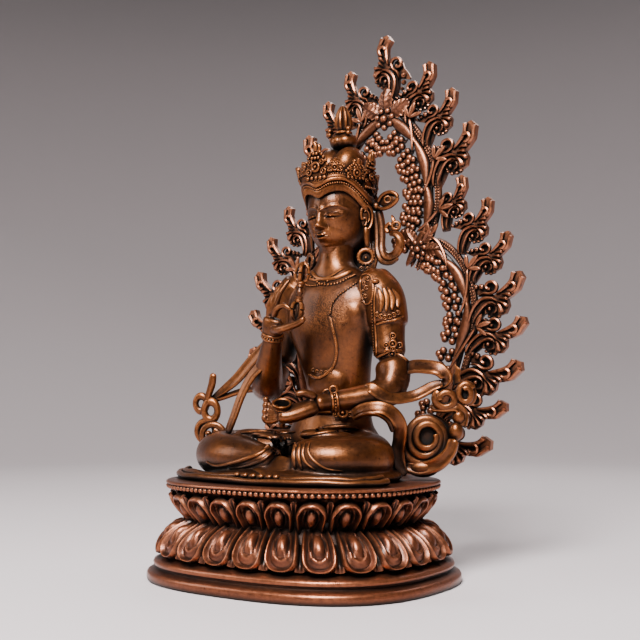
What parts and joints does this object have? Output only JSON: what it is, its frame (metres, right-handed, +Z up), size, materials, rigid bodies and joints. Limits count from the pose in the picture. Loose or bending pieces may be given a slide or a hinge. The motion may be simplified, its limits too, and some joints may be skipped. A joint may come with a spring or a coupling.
{
  "type": "vajrasattva figure",
  "caption": "Seated crowned figure of cast copper alloy on a lotus plinth, holding a vajra and a bell, with an openwork flame aureole behind it.",
  "frame": {"origin": "middle of the plinth's underside, on the surface that it stands on", "axes": "+Z up, the figure faces -Y, its own left hand is towards +X, the aureole stands at the back on the +Y side"},
  "size_m": [0.2046, 0.1534, 0.3325],
  "materials": {
    "plinth_copper": "dark red-brown patina, worn to copper on the petals",
    "figure_copper": "golden-brown patina, worn and polished on the raised forms",
    "aureole_copper": "dark red-brown patina, dull, with brighter edges"
  },
  "bodies": {
    "root": {"lotus_base": "plinth_copper", "seated_figure": "figure_copper", "aureole": "aureole_copper"}
  },
  "joints": []
}
